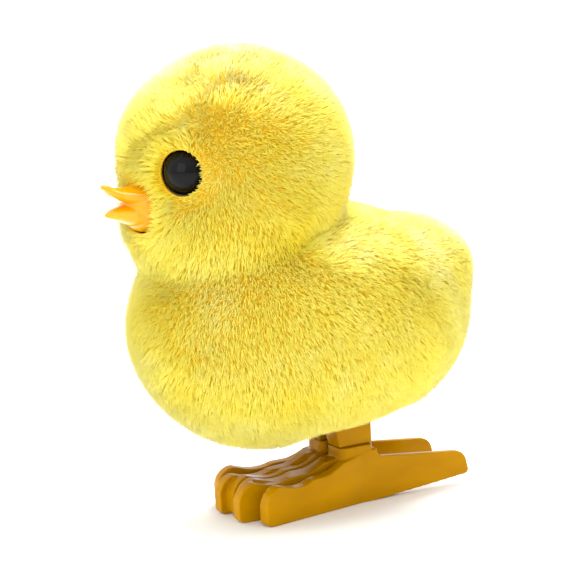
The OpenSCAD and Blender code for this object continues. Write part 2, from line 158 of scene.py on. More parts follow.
# Moulded plastics: dark, middle and light shade, roughness from and to, glow from within, gloss
PLASTICS = {
    "amber_plastic": ([(160, 110, 0), (176, 124, 0), (190, 136, 0)], (0.12, 0.2), 0.08, 0.05),
    "beak_plastic": ([(210, 138, 0), (226, 154, 1), (236, 167, 6)], (0.06, 0.12), 0.1, 0.35),
    "eye_plastic": ([(5, 5, 6), (9, 9, 10), (14, 13, 13)], (0.05, 0.1), 0.0, 0.14),
    "form_plastic": ([(222, 214, 190), (232, 225, 204), (238, 232, 214)], (0.4, 0.55), 0.1, 0.2),
    "case_plastic": ([(226, 226, 222), (236, 236, 232), (243, 243, 240)], (0.3, 0.45), 0.1, 0.2),
}
# How far light goes into them in red, green and blue, as shares of a depth in metres
GLOW_RADIUS = (1.0, 0.5, 0.1)
GLOW_SCALE = 0.0012

# Metals: dark and light shade, roughness from and to, the direction its marks are drawn out in
METALS = {
    "bright_steel": ((0.5, 0.5, 0.52), (0.68, 0.69, 0.7), (0.2, 0.4), (6, 1, 1)),
    "spring_steel": ((0.2, 0.22, 0.27), (0.42, 0.44, 0.48), (0.25, 0.45), (1, 4, 4)),
    "brass": ((0.62, 0.42, 0.14), (0.8, 0.6, 0.26), (0.2, 0.38), (1, 3, 3)),
}

# The pile's colour from the depth of the coat to the tips: the deeper roots are painted shade in the pile,
# the paler tips painted light
PILE_SHADES = [(0.0, (254, 208, 28)), (0.3, (254, 229, 54)), (0.65, (254, 241, 108)), (1.0, (255, 251, 206))]
# How much of a strand's place on that scale comes from each value
BY_HEIGHT, BY_SHADE, BY_TONE, BY_PATCH = 0.45, 0.14, 0.06, (0.02, 0.24)
PILE_SHEEN = {"Sheen_Weight": 0.45, "Sheen_Roughness": 0.35, "Sheen_Tint": (1.0, 0.98, 0.85, 1)}


class Finish:
    """A Principled material whose colour, roughness and bump come from procedural nodes."""

    def __init__(self, name, **plain):
        self.mat = bpy.data.materials.new(name)
        self.mat.use_nodes = True
        self.tree = self.mat.node_tree
        self.shader = self.tree.nodes["Principled BSDF"]
        self.set_inputs(self.shader, plain)
        self.spot = self.node("TexCoord").outputs["Object"]

    def set_inputs(self, node, values):
        for socket, value in values.items():
            node.inputs[socket.replace("_", " ")].default_value = value

    def node(self, kind, **values):
        made = self.tree.nodes.new("ShaderNode" + kind)
        self.set_inputs(made, values)
        return made

    def link(self, out, into):
        self.tree.links.new(out, into)

    def noise(self, size, detail=3.0, stretch=(1, 1, 1)):
        """Noise whose grains are about size millimetres, drawn out along stretch."""
        mapping = self.node("Mapping", Scale=[1 / s for s in stretch])
        self.link(self.spot, mapping.inputs["Vector"])
        grains = self.node("TexNoise", Scale=1 / (size * MM), Detail=detail)
        self.link(mapping.outputs["Vector"], grains.inputs["Vector"])
        return grains.outputs["Fac"]

    def attribute(self, name):
        """A value that a mesh holds for each of its points."""
        node = self.node("Attribute")
        node.attribute_name = name
        return node.outputs["Fac"]

    def ramp(self, value, stops):
        node = self.node("ValToRGB")
        while len(node.color_ramp.elements) < len(stops):
            node.color_ramp.elements.new(0.5)
        for element, (at, colour) in zip(node.color_ramp.elements, stops):
            element.position = at
            element.color = (*colour, 1)
        self.link(value, node.inputs["Fac"])
        return node.outputs["Color"]

    def spread(self, value, low, high):
        """Noise stretched from its usual range to low and high."""
        noise_low, noise_high = NOISE_RANGE
        node = self.node("MapRange", From_Min=noise_low, From_Max=noise_high, To_Min=low, To_Max=high)
        self.link(value, node.inputs["Value"])
        return node.outputs["Result"]

    def maths(self, kind, a, b):
        node = self.node("Math")
        node.operation = kind
        for socket, value in zip(node.inputs, (a, b)):
            if isinstance(value, (int, float)):
                socket.default_value = value
            else:
                self.link(value, socket)
        return node.outputs["Value"]

    def colour(self, value, stops):
        self.link(self.ramp(value, stops), self.shader.inputs["Base Color"])

    def roughness(self, value, low, high):
        self.link(self.spread(value, low, high), self.shader.inputs["Roughness"])

    def bump(self, height, depth, strength):
        """Bump that is about depth millimetres deep."""
        node = self.node("Bump", Strength=strength, Distance=depth * MM)
        self.link(height, node.inputs["Height"])
        self.link(node.outputs["Normal"], self.shader.inputs["Normal"])


def srgb(*levels):
    """A linear colour from three screen levels of 0 to 255."""
    shares = [level / 255 for level in levels]
    return tuple(s / 12.92 if s <= 0.04045 else ((s + 0.055) / 1.055) ** 2.4 for s in shares)


def moulded(name, shades, rough, glow, gloss):
    """Moulded plastic: slight flow marks in the colour, a faint orange-peel skin and some depth."""
    f = Finish(name, Subsurface_Weight=glow, Subsurface_Radius=GLOW_RADIUS, Subsurface_Scale=GLOW_SCALE,
        Specular_IOR_Level=gloss)
    flow = f.noise(6, 4, (1, 2.5, 1))
    f.colour(flow, [(at, srgb(*levels)) for at, levels in zip((0.3, 0.52, 0.75), shades)])
    f.roughness(f.noise(2.2, 5), *rough)
    f.bump(f.noise(0.7, 3), 0.05, 0.3)
    return f.mat


def metal(name, dark, light, rough, grain):
    """Bare metal with fine drawn or turned marks."""
    f = Finish(name, Metallic=1.0)
    marks = f.noise(0.35, 4, grain)
    f.colour(marks, [(0.3, dark), (0.7, light)])
    f.roughness(marks, *rough)
    f.bump(marks, 0.02, 0.4)
    return f.mat


def make_materials():
    mats = {name: moulded(name, *values) for name, values in PLASTICS.items()}
    mats.update({name: metal(name, *values) for name, values in METALS.items()})
    return mats


def skin_material():
    """The knitted backing that the pile stands on."""
    f = Finish("coat_backing", Specular_IOR_Level=0.2)
    weave = f.noise(0.5, 3)
    f.colour(weave, [(0.3, srgb(222, 168, 20)), (0.7, srgb(236, 190, 40))])
    f.roughness(weave, 0.7, 0.9)
    f.bump(weave, 0.1, 0.6)
    return f.mat


def pile_material():
    """Soft pile: deeper at the roots as painted shade, paler at the tips as painted light, with patches,
    clumps and single strands apart.
    """
    f = Finish("plush_pile", Roughness=0.7, Specular_IOR_Level=0.1, **PILE_SHEEN)
    patch = f.spread(f.noise(9, 3), *BY_PATCH)
    shade = f.maths("MULTIPLY", f.attribute("shade"), BY_SHADE)
    tone = f.maths("MULTIPLY", f.attribute("tone"), BY_TONE)
    # Painted shade and light: the lower a point on a strand, the deeper its colour, and the tips are paler
    height = f.maths("MULTIPLY", f.attribute("height"), BY_HEIGHT)
    lift = f.maths("ADD", f.maths("ADD", shade, tone), patch)
    f.colour(f.maths("ADD", height, lift), [(at, srgb(*levels)) for at, levels in PILE_SHADES])
    f.roughness(f.noise(1.5, 2), 0.6, 0.8)
    return f.mat


# ---------------------------------------------------------------- the chick's outer shape

# Five ellipsoids, each (middle, radii, tilt about X), run into each other by a smooth maximum
CORE = np.array([0.0, -5.2, 44.0])
BLEND = 1.4
HEAD = ((0.0, -11.5, 61.3), (18.5, 19.8, 18.7), 0.0)
CHEEKS = ((0.0, -15.5, 51.7), (16.0, 15.8, 13.0), 0.0)
CHEST = ((0.0, -9.4, 34.4), (18.5, 20.6, 21.6), 0.0)
BODY = ((0.0, 0.0, 32.5), (20.5, 31.3, 20.3), -2.2)
RUMP = ((0.0, 17.0, 38.2), (12.8, 15.9, 10.4), 5.0)

# The left eye; the right one mirrors it
EYE_AT = np.array([10.42, -27.87, 61.2])
EYE_TURN = math.radians(38)
EYE_R = 3.6

# Holes in the coat: middles and half sizes of the ones for beak and legs, middle and radius of the key's
BEAK_AT = np.array([0.0, -31.2, 55.0])
BEAK_HALF = (5.0, 4.2)
LEG_HOLE_AT = (0.0, 5.0)
LEG_HOLE_HALF = (8.0, 8.7)
HOLE_CORNER = 3.0
KEY_AT = (-3.0, 37.0)
KEY_HOLE_R = 3.8


def ray_out(d, form, inset):
    """How far rays from the core run before they leave one ellipsoid, 0 where they miss it."""
    middle, radii, tilt = form
    c, s = math.cos(math.radians(tilt)), math.sin(math.radians(tilt))
    untilt = np.array([[1, 0, 0], [0, c, s], [0, -s, c]])
    r = np.array(radii) - inset
    p = untilt @ (CORE - np.array(middle)) / r
    v = d @ untilt.T / r
    a, b = (v * v).sum(1), v @ p
    q = b * b - a * (p @ p - 1)
    return np.where(q > 0, np.maximum((np.sqrt(np.maximum(q, 0)) - b) / a, 0), 0)


def reach(d, inset):
    """How far rays from the core run to the coat's outline, or to a surface inset millimetres under it."""
    rays = np.stack([ray_out(d, form, inset) for form in (HEAD, CHEEKS, CHEST, BODY, RUMP)])
    top = rays.max(0)
    return top + BLEND * np.log(np.exp((rays - top) / BLEND).sum(0))


def on_coat(d, inset):
    return CORE + d * reach(d, inset)[:, None]


def coat_normal(d, inset):
    """Outward normals where rays along d meet the coat, from two close neighbours of each ray."""
    step = 0.01
    helper = np.where(np.abs(d[:, 2:]) < 0.9, [[0.0, 0.0, 1.0]], [[1.0, 0.0, 0.0]])
    u = unit(np.cross(d, helper))
    v = np.cross(d, u)
    p = on_coat(d, inset)
    n = unit(np.cross(on_coat(unit(d + step * u), inset) - p, on_coat(unit(d + step * v), inset) - p))
    return n * np.sign((n * d).sum(1))[:, None]


def eye_axis(side):
    return np.array([side * math.sin(EYE_TURN), -math.cos(EYE_TURN), 0.0])


def off_axis(points, at, axis):
    """Vectors from a line to the points, square to the line."""
    v = points - at
    return v - (v @ axis)[:, None] * axis


def outside_box(across, along, half):
    """Distance outside a rectangle with rounded corners, negative inside."""
    qx, qy = np.abs(across) - half[0] + HOLE_CORNER, np.abs(along) - half[1] + HOLE_CORNER
    corner = np.hypot(np.maximum(qx, 0), np.maximum(qy, 0))
    return corner + np.minimum(np.maximum(qx, qy), 0) - HOLE_CORNER


# ---------------------------------------------------------------- mesh helpers


def new_mesh(name, points, faces):
    """A smooth object from points in millimetres and arrays of faces with 3 or 4 corners each."""
    mesh = bpy.data.meshes.new(name)
    groups = [np.asarray(f, np.int64) for f in faces]
    corners = np.concatenate([f.ravel() for f in groups])
    sizes = np.concatenate([np.full(len(f), f.shape[1]) for f in groups])
    mesh.vertices.add(len(points))
    mesh.vertices.foreach_set("co", place(points).astype(np.float32).ravel())
    mesh.loops.add(len(corners))
    mesh.loops.foreach_set("vertex_index", corners.astype(np.int32))
    mesh.polygons.add(len(sizes))
    mesh.polygons.foreach_set("loop_start", (np.cumsum(sizes) - sizes).astype(np.int32))
    mesh.polygons.foreach_set("use_smooth", np.full(len(sizes), True))
    mesh.update(calc_edges=True)
    return add_object(name, mesh)


def from_work(name, work):
    """An object from a bmesh, which is freed."""
    mesh = bpy.data.meshes.new(name)
    work.to_mesh(mesh)
    work.free()
    return add_object(name, mesh)


def apply_modifiers(obj):
    bpy.context.view_layer.update()
    evaluated = obj.evaluated_get(bpy.context.evaluated_depsgraph_get())
    mesh = bpy.data.meshes.new_from_object(evaluated)
    obj.modifiers.clear()
    obj.data = mesh
    mesh.polygons.foreach_set("use_smooth", np.full(len(mesh.polygons), True))
    mesh.update()


def soften(obj, voxel, rounds):
    """Remeshes a closed shape evenly and rounds off its edges and inside corners."""
    remesh = obj.modifiers.new("even", "REMESH")
    remesh.mode = "VOXEL"
    remesh.voxel_size = voxel * MM
    smooth = obj.modifiers.new("round", "SMOOTH")
    smooth.factor = 0.5
    smooth.iterations = rounds
    apply_modifiers(obj)


def copy_of(node, name):
    """A welded copy of a CAD node's mesh, as the start of a finer piece."""
    weld = 0.002
    work = bmesh.new()
    work.from_mesh(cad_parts[node].data)
    bmesh.ops.remove_doubles(work, verts=work.verts, dist=weld * MM)
    return from_work(name, work)


def finish_piece(obj, mat, body, slot, *nodes):
    """Gives a piece its material and the body it rides on, and hides the CAD nodes it stands for; slot is not
    used.
    """
    obj.data.materials.clear()
    obj.data.materials.append(mat)
    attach(obj, body)
    if nodes:
        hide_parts(*nodes)
    return obj


def circle(r, n=48):
    return [(r * math.cos(2 * math.pi * k / n), r * math.sin(2 * math.pi * k / n)) for k in range(n)]


def rounded_box(half, corner, n=6):
    """The outline of a rectangle with rounded corners, n steps round each."""
    points = []
    for k, (sx, sy) in enumerate(((1, 1), (-1, 1), (-1, -1), (1, -1))):
        for i in range(n + 1):
            a = math.pi / 2 * (k + i / n)
            x = sx * (half[0] - corner) + corner * math.cos(a)
            y = sy * (half[1] - corner) + corner * math.sin(a)
            points.append((x, y))
    return points


def extruded(name, outline, ends, to_chick):
    """A closed prism: a flat outline drawn out between two ends, with each point moved by to_chick."""
    n = len(outline)
    points = place([to_chick(x, y, h) for h in ends for x, y in outline])
    caps = [tuple(range(n))[::-1], tuple(range(n, 2 * n))]
    walls = [(i, (i + 1) % n, n + (i + 1) % n, n + i) for i in range(n)]
    mesh = bpy.data.meshes.new(name)
    mesh.from_pydata([tuple(p) for p in points], [], caps + walls)
    work = bmesh.new()
    work.from_mesh(mesh)
    bmesh.ops.recalc_face_normals(work, faces=work.faces)
    work.to_mesh(mesh)
    work.free()
    return add_object(name, mesh)


def revolved(name, profile, to_chick, segs=72):
    """A closed turned shape: profile is (radius, height) pairs from bottom to top, both on the axis."""
    points = [to_chick(0, 0, profile[0][1])]
    for r, h in profile[1:-1]:
        points += [to_chick(x, y, h) for x, y in circle(r, segs)]
    points.append(to_chick(0, 0, profile[-1][1]))
    rows = len(profile) - 2
    last = len(points) - 1
    top = 1 + (rows - 1) * segs
    walls, caps = [], []
    for i in range(rows - 1):
        for j in range(segs):
            a, b = 1 + i * segs + j, 1 + i * segs + (j + 1) % segs
            walls.append((a, b, b + segs, a + segs))
    for j in range(segs):
        caps.append((0, 1 + (j + 1) % segs, 1 + j))
        caps.append((last, top + j, top + (j + 1) % segs))
    return new_mesh(name, np.array(points), [np.array(walls), np.array(caps)])


# ---------------------------------------------------------------- coat fabric

SKIN_INSET = 1.0
SKIN_THICK = 0.7
SKIN_RINGS = 110
SKIN_SEGS = 150
EYE_GAP = 0.15
BEAK_GAP = 0.05

# From where to where each hole's cutter reaches along the hole
EYE_CUT = (-6, 4)
BEAK_CUT = (-5, 6)
LEG_CUT = (5, 21)
KEY_CUT = (-40, 0)


def ball_grid(rings, segs):
    """Directions over a sphere, poles first and last, and the faces between them."""
    down = np.pi * np.arange(1, rings) / rings
    turn = 2 * np.pi * np.arange(segs) / segs
    down, turn = np.stack(np.meshgrid(down, turn, indexing="ij")).reshape(2, -1)
    d = np.stack([np.sin(down) * np.cos(turn), np.sin(down) * np.sin(turn), np.cos(down)], 1)
    d = np.concatenate([[[0, 0, 1.0]], d, [[0, 0, -1.0]]])
    i, j = np.meshgrid(np.arange(rings - 2), np.arange(segs), indexing="ij")
    a, b = 1 + i * segs + j, 1 + i * segs + (j + 1) % segs
    quads = np.stack([a, a + segs, b + segs, b], -1).reshape(-1, 4)
    j = np.arange(segs)
    last_ring = 1 + (rings - 2) * segs
    top = np.stack([0 * j, 1 + j, 1 + (j + 1) % segs], 1)
    low = np.stack([0 * j + len(d) - 1, last_ring + (j + 1) % segs, last_ring + j], 1)
    return d, quads, np.concatenate([top, low])


def eye_place(side):
    """A function from across, up and out of an eye to the chick's coordinates."""
    out = eye_axis(side)
    across = np.cross([0, 0, 1.0], out)
    at = EYE_AT * [side, 1, 1]
    return lambda x, y, h: at + x * across + y * np.array([0, 0, 1.0]) + h * out


def beak_place(x, y, h):
    return BEAK_AT + [x, h, y]


def leg_place(x, y, h):
    return np.array([LEG_HOLE_AT[0] + x, LEG_HOLE_AT[1] + y, h])


def key_place(x, y, h):
    return np.array([h, KEY_AT[0] + x, KEY_AT[1] + y])


def hole_cutters():
    beak_half = [half + BEAK_GAP for half in BEAK_HALF]
    cutters = [extruded("eye_cut", circle(EYE_R + EYE_GAP), EYE_CUT, eye_place(s)) for s in SIDES.values()]
    cutters.append(extruded("beak_cut", rounded_box(beak_half, HOLE_CORNER + BEAK_GAP), BEAK_CUT, beak_place))
    cutters.append(extruded("leg_cut", rounded_box(LEG_HOLE_HALF, HOLE_CORNER), LEG_CUT, leg_place))
    cutters.append(extruded("key_cut", circle(KEY_HOLE_R), KEY_CUT, key_place))
    return cutters


def make_skin():
    """The coat's backing: a thin closed shell under the pile, with holes for eyes, beak, legs and key."""
    d, quads, tris = ball_grid(SKIN_RINGS, SKIN_SEGS)
    n = len(d)
    points = np.concatenate([on_coat(d, SKIN_INSET), on_coat(d, SKIN_INSET + SKIN_THICK)])
    skin = new_mesh("coat_fabric", points, [quads, quads[:, ::-1] + n, tris, tris[:, ::-1] + n])
    cutters = hole_cutters()
    for cutter in cutters:
        hole = skin.modifiers.new("hole", "BOOLEAN")
        hole.operation = "DIFFERENCE"
        hole.solver = "EXACT"
        hole.object = cutter
    apply_modifiers(skin)
    for cutter in cutters:
        bpy.data.objects.remove(cutter)
    return skin


# ---------------------------------------------------------------- gaps round the coat's holes

# Added to the distance from a hole for points on another part of the body, which it must not reach
FAR_OFF = 50
EYE_ZONE_Y = -15
BEAK_ZONE_Y = -20
LEG_ZONE_Z = 25


def eye_gap(p, side):
    """Vectors from an eye's axis, and their lengths."""
    away = off_axis(p, EYE_AT * [side, 1, 1], eye_axis(side))
    elsewhere = (p[:, 0] * side < 0) | (p[:, 1] > EYE_ZONE_Y)
    return away, np.linalg.norm(away, axis=1) + FAR_OFF * elsewhere


def beak_gap(p):
    """Vectors from the beak's axis, and the distance outside its hole."""
    away = (p - BEAK_AT) * [1, 0, 1]
    return away, outside_box(away[:, 0], away[:, 2], BEAK_HALF) + FAR_OFF * (p[:, 1] > BEAK_ZONE_Y)


def leg_gap(p):
    """The distance outside the opening for the legs."""
    x, y = p[:, 0] - LEG_HOLE_AT[0], p[:, 1] - LEG_HOLE_AT[1]
    return outside_box(x, y, LEG_HOLE_HALF) + FAR_OFF * (p[:, 2] > LEG_ZONE_Z)


def key_gap(p):
    """Vectors from the key's axis, and their lengths."""
    away = (p - [0, *KEY_AT]) * [0, 1, 1]
    return away, np.linalg.norm(away, axis=1) + FAR_OFF * (p[:, 0] > 0)


def keep_clear(p):
    """True for roots that don't stand in one of the coat's holes."""
    rim = 0.1
    clear = (beak_gap(p)[1] > 0) & (leg_gap(p) > rim) & (key_gap(p)[1] > KEY_HOLE_R + rim)
    for side in SIDES.values():
        clear &= eye_gap(p, side)[1] > EYE_R + rim
    return clear


# ---------------------------------------------------------------- how the pile lies

# Comb directions: down over breast and flanks, backwards over the back, back and down over the head
COMB_DOWN = np.array([0, 0.14, -1.0])
COMB_BACK = np.array([0, 1.0, -0.25])
COMB_HEAD = np.array([0, 0.75, -0.6])

# Swirls in the comb direction: size in millimetres, seed, strength, and more of it on the head
SWIRLS = [(13, 5, 0.3, 0.1), (4.5, 6, 0.22, 0.2)]
# The waves that a swirl is a sum of, how fast they turn over its size, and what their sum is divided by
SWIRL_WAVES = 5
SWIRL_TURN = 2.2
SWIRL_NORM = 2.2

# Strand length and lean, and what head, back, underside and bill add to them
LENGTH, HEAD_LENGTH, UNDER_LENGTH, BILL_LENGTH, NECK_LENGTH = 1.85, -0.2, 0.4, 0.8, 0.6
LEAN, HEAD_LEAN, BACK_LEAN = 0.6, -0.3, 0.15

# Flow shorter than this leaves the strands standing up instead of turning away from each other
PARTING = 0.35

# Where head, back and underside begin and are complete: heights in millimetres, the others by the
# normal's Z. The pile over the bill begins at a Y and at a height, and the neck's fold at a Y.
HEAD_FADE = (48, 56)
# The head's lower edge slopes: how much it drops for each millimetre back from HEAD_EDGE_Y
HEAD_EDGE_DROP, HEAD_EDGE_Y = 0.25, -10
BACK_FADE, UNDER_FADE = (0.35, 0.85), (-0.2, -0.9)
BILL_FADE_Y, BILL_FADE_Z = (-21, -28), (47, 52)
NECK_FADE_Y = (-22, -8)
NECK_FOLD_WIDTH = 2.6

# How far from the holes' edges the pile begins to change, and where the change is complete
EYE_FADE = (EYE_R + 4.5, EYE_R + 0.3)
BEAK_FADE = (3.0, 0.0)
LEG_FADE = (5.5, 0.5)
KEY_FADE = (KEY_HOLE_R + 2.0, KEY_HOLE_R)

# What the pile does there: its lean, how much it loses of its lean, and how much of its length
EYE_LEAN, BEAK_LEAN, LEG_LEAN_LOSS = 0.3, 0.25, 0.7
EYE_LOSS, BEAK_LOSS, LEG_LOSS = 0.1, 0.4, 0.55

# Behind and below an eye: the direction from it, where that begins by the cosine, and what changes
OVER_WAY = (0.6, 0.5, -0.6)
OVER_FADE = (-0.1, 0.6)
OVER_TURN, OVER_LEAN, OVER_LOSS = 1.5, -0.1, 0.3

# Patches of painted shade, a deeper colour where shade falls over the beak, round the eyes, beside the crown
# and in the neck's fold.
# Strength, place and size, with the beak's up from BEAK_AT and the one behind the eye from EYE_AT
BEAK_PAINTED_SHADE, BEAK_PAINTED_SHADE_UP, BEAK_PAINTED_SHADE_SIZE, BEAK_PAINTED_SHADE_DEPTH = 1.3, 3.6, (3.6, 1.9), 8
RIM_PAINTED_SHADE, RIM_WIDTH, RIM_WAY, RIM_FADE = 0.6, 1.4, (-0.5, -0.4, -0.8), (-0.3, 0.7)
BEHIND_PAINTED_SHADE, BEHIND_AT, BEHIND_SPREAD = 0.25, (1.2, 4.5, 5.5), 6
CROWN_PAINTED_SHADE, CROWN_AT, CROWN_SPREAD, CROWN_FADE_X = 0.3, (0, -16.5, 69.5), 30, (6, 12)
NECK_PAINTED_SHADE, NECK_PAINTED_SHADE_WIDTH = 0.6, 5.5


def smooth_step(low, high, x):
    t = np.clip((x - low) / (high - low), 0, 1)
    return t * t * (3 - 2 * t)


def swirl(points, length, seed):
    """Smooth random vectors over space that change over about length millimetres."""
    rng = np.random.default_rng(seed)
    out = np.zeros_like(points)
    for _ in range(SWIRL_WAVES):
        k = rng.normal(size=3) / length * SWIRL_TURN
        out += np.sin(points @ k + rng.uniform(0, 2 * np.pi))[:, None] * rng.normal(size=3)
    return out / SWIRL_NORM


def neck_fold(p, width):
    """1 in the fold behind the head, fading to 0 over about width millimetres and towards the breast."""
    height, slope, at_y = 50.5, 0.28, -4
    fold = p[:, 2] - height - slope * (p[:, 1] - at_y)
    return np.exp(-(fold / width) ** 2) * smooth_step(*NECK_FADE_Y, p[:, 1])


def turned(flow, target, near, strength=1.0):
    """Flow that gives way to target, times strength, where near is 1."""
    return flow * (1 - near)[:, None] + target * (near * strength)[:, None]


def body_pile(p, n):
    """Comb direction, lean and length away from the holes."""
    head = smooth_step(*HEAD_FADE, p[:, 2] + HEAD_EDGE_DROP * (p[:, 1] - HEAD_EDGE_Y))
    back = smooth_step(*BACK_FADE, n[:, 2]) * (1 - head)
    flow = COMB_DOWN * (1 - back - head)[:, None] + COMB_BACK * back[:, None]
    flow = flow + COMB_HEAD * head[:, None]
    for size, seed, strength, more in SWIRLS:
        flow = flow + swirl(p, size, seed) * (strength + more * head)[:, None]
    lean = LEAN + HEAD_LEAN * head + BACK_LEAN * back
    length = LENGTH + HEAD_LENGTH * head + UNDER_LENGTH * smooth_step(*UNDER_FADE, n[:, 2])
    length = length + BILL_LENGTH * smooth_step(*BILL_FADE_Y, p[:, 1]) * smooth_step(*BILL_FADE_Z, p[:, 2])
    return flow, lean, length + NECK_LENGTH * neck_fold(p, NECK_FOLD_WIDTH)


def comb_round_eye(p, side, flow, lean, length):
    """Pile fans out from the eye; behind and below it, it stands up and leans in over the rim."""
    away, far = eye_gap(p, side)
    near = smooth_step(*EYE_FADE, far)
    over = smooth_step(*OVER_FADE, unit(away) @ unit(np.array(OVER_WAY) * [side, 1, 1]))
    flow = turned(flow, unit(away), near, 1 - OVER_TURN * over)
    lean = lean * (1 - near) + (EYE_LEAN + OVER_LEAN * over) * near
    return flow, lean, length * (1 - EYE_LOSS * near - OVER_LOSS * near * over)


def comb_into_beak(p, flow, lean, length):
    """Short pile leans in against the beak's edge."""
    away, far = beak_gap(p)
    near = smooth_step(*BEAK_FADE, far)
    flow = turned(flow, -unit(away), near)
    return flow, lean * (1 - near) + BEAK_LEAN * near, length * (1 - BEAK_LOSS * near)


def pile_field(p, n):
    """For roots p with normals n: comb direction, how far strands lean, and their length."""
    flow, lean, length = body_pile(p, n)
    for side in SIDES.values():
        flow, lean, length = comb_round_eye(p, side, flow, lean, length)
    flow, lean, length = comb_into_beak(p, flow, lean, length)
    near_legs = smooth_step(*LEG_FADE, leg_gap(p))
    lean = lean * (1 - LEG_LEAN_LOSS * near_legs)
    length = length * (1 - LEG_LOSS * near_legs)
    away, far = key_gap(p)
    flow = turned(flow, -unit(away), smooth_step(*KEY_FADE, far))
    flow = flow - (flow * n).sum(1)[:, None] * n
    comb = flow / np.maximum(np.linalg.norm(flow, axis=1, keepdims=True), PARTING)
    return comb, lean, length


def painted_shade_round_eye(p, side):
    """Painted shade: a deeper colour under and in front of an eye, and in a small patch up behind it."""
    off, far = eye_gap(p, side)
    low = unit(off) @ unit(np.array(RIM_WAY) * [side, 1, 1])
    rim = RIM_PAINTED_SHADE * smooth_step(EYE_R + RIM_WIDTH, EYE_R, far) * smooth_step(*RIM_FADE, low)
    behind = p - (EYE_AT + BEHIND_AT) * [side, 1, 1]
    return rim, BEHIND_PAINTED_SHADE * np.exp(-(behind ** 2).sum(1) / BEHIND_SPREAD)


def painted_shade_patches(p):
    """How much painted shade deepens the pile's colour: over the beak, round the eyes, beside the crown, in
    the neck.
    """
    away = p - BEAK_AT - [0, 0, BEAK_PAINTED_SHADE_UP]
    across, up = away[:, 0] / BEAK_PAINTED_SHADE_SIZE[0], away[:, 2] / BEAK_PAINTED_SHADE_SIZE[1]
    painted_shade = BEAK_PAINTED_SHADE * np.exp(-across ** 2 - up ** 2) * (away[:, 1] < BEAK_PAINTED_SHADE_DEPTH)
    for side in SIDES.values():
        for patch in painted_shade_round_eye(p, side):
            painted_shade = painted_shade + patch
    crown = np.exp(-(((p - CROWN_AT) * [0, 1, 1]) ** 2).sum(1) / CROWN_SPREAD)
    painted_shade = painted_shade + CROWN_PAINTED_SHADE * crown * smooth_step(*CROWN_FADE_X, np.abs(p[:, 0]))
    return painted_shade + NECK_PAINTED_SHADE * neck_fold(p, NECK_PAINTED_SHADE_WIDTH)


# ---------------------------------------------------------------- strands

STRANDS_TRIED = 500000
STRAND_R = 0.045
STRAND_SIDES = 3
ROOT_WIDTH, MID_WIDTH = 0.9, 1.15
MID_HEIGHT = 0.55
ROOT_DEPTH = 0.15
ROOT_JITTER = 0.004
PILE_SEED = 11

# The least cosine between ray and normal that the spread of roots allows for, and the share of the
# largest area per ray above which no root is dropped
LEAST_FACING = 0.2
FULL_SHARE = 0.9

# How strands differ in length and lean, and how far they stray
LENGTH_SPREAD, LEAN_SPREAD = (0.88, 1.08), (0.8, 1.2)
STRAY, TIP_STRAY = 0.12, 1.5

# The lower and the upper part of a strand: share of its lean, and share of its length
LOWER_LEAN, UPPER_LEAN = 0.55, 1.55
LOWER_PART, UPPER_PART = 0.55, 0.5

# A strand's place on the scale of shades: its base, then by clump, by patch of painted shade and by painted
# light on pile that faces upwards
BASE_SHADE, CLUMP_SHADE, PAINTED_SHADE_WEIGHT, PAINTED_TOP_LIGHT = 0.3, 0.4, -2.0, 1.4

# Where the coat's areas end: in millimetres, and by the normal's Z
HEAD_FROM_Z, CROWN_FROM_Z, FRONT_TO_Y, TAIL_FROM_Y = 50, 68, -16, 20
BACK_FROM_SLOPE, BELLY_TO_SLOPE = 0.45, -0.6

# How much of a strand's shading comes from the body's surface, as in soft fine pile
BODY_SHARE = 0.96

# Clumps: their size, how much longer they are downwards, and how far they pull strands in
CLUMP = 0.9
CLUMP_STRETCH = np.array([1, 1, 0.75])
MID_PULL, TIP_PULL = 0.1, 0.18

# Multipliers that scramble a cell's whole numbers, one for each of its sides, the seed and the result
CELL_MIX = (73856093, 19349663, 83492791)
SEED_MIX = 2654435761
FINAL_MIX = 1274126177
LOW_BITS = 0xFFFFFF


def scatter(cells, seed):
    """A repeatable random number from 0 to 1 for each whole-number cell."""
    x, y, z = (cells[..., i] * CELL_MIX[i] for i in range(3))
    h = x ^ y ^ z ^ (seed * SEED_MIX)
    h = (h ^ (h >> 13)) * FINAL_MIX
    h = h ^ (h >> 16)
    return (h & LOW_BITS) / float(LOW_BITS + 1)


def nearest_clump(points):
    """The nearest of a jittered set of clump centres, and a random number for it."""
    grid = points / CLUMP
    cell = np.floor(grid).astype(np.int64)
    best = np.full(len(points), np.inf)
    centre, value = np.zeros_like(points), np.zeros(len(points))
    for shift in np.ndindex(3, 3, 3):
        c = cell + np.array(shift) - 1
        at = c + np.stack([scatter(c, s) for s in (1, 2, 3)], 1)
        far = ((at - grid) ** 2).sum(1)
        closer = far < best
        best = np.where(closer, far, best)
        centre[closer] = at[closer] * CLUMP
        value[closer] = scatter(c, 4)[closer]
    return centre, value


def strand_roots(rng):
    """Directions of strand roots, spread evenly over the coat's surface, and its normals there."""
    k = np.arange(STRANDS_TRIED) + 0.5
    z = 1 - 2 * k / STRANDS_TRIED
    turn = k * math.pi * (3 - math.sqrt(5))
    d = np.stack([np.sqrt(1 - z * z) * np.cos(turn), np.sqrt(1 - z * z) * np.sin(turn), z], 1)
    d = unit(d + rng.normal(size=d.shape) * ROOT_JITTER)
    n = coat_normal(d, SKIN_INSET)
    area = reach(d, SKIN_INSET) ** 2 / np.maximum((n * d).sum(1), LEAST_FACING)
    keep = rng.uniform(0, area.max() * FULL_SHARE, len(d)) < area
    return d[keep], n[keep]


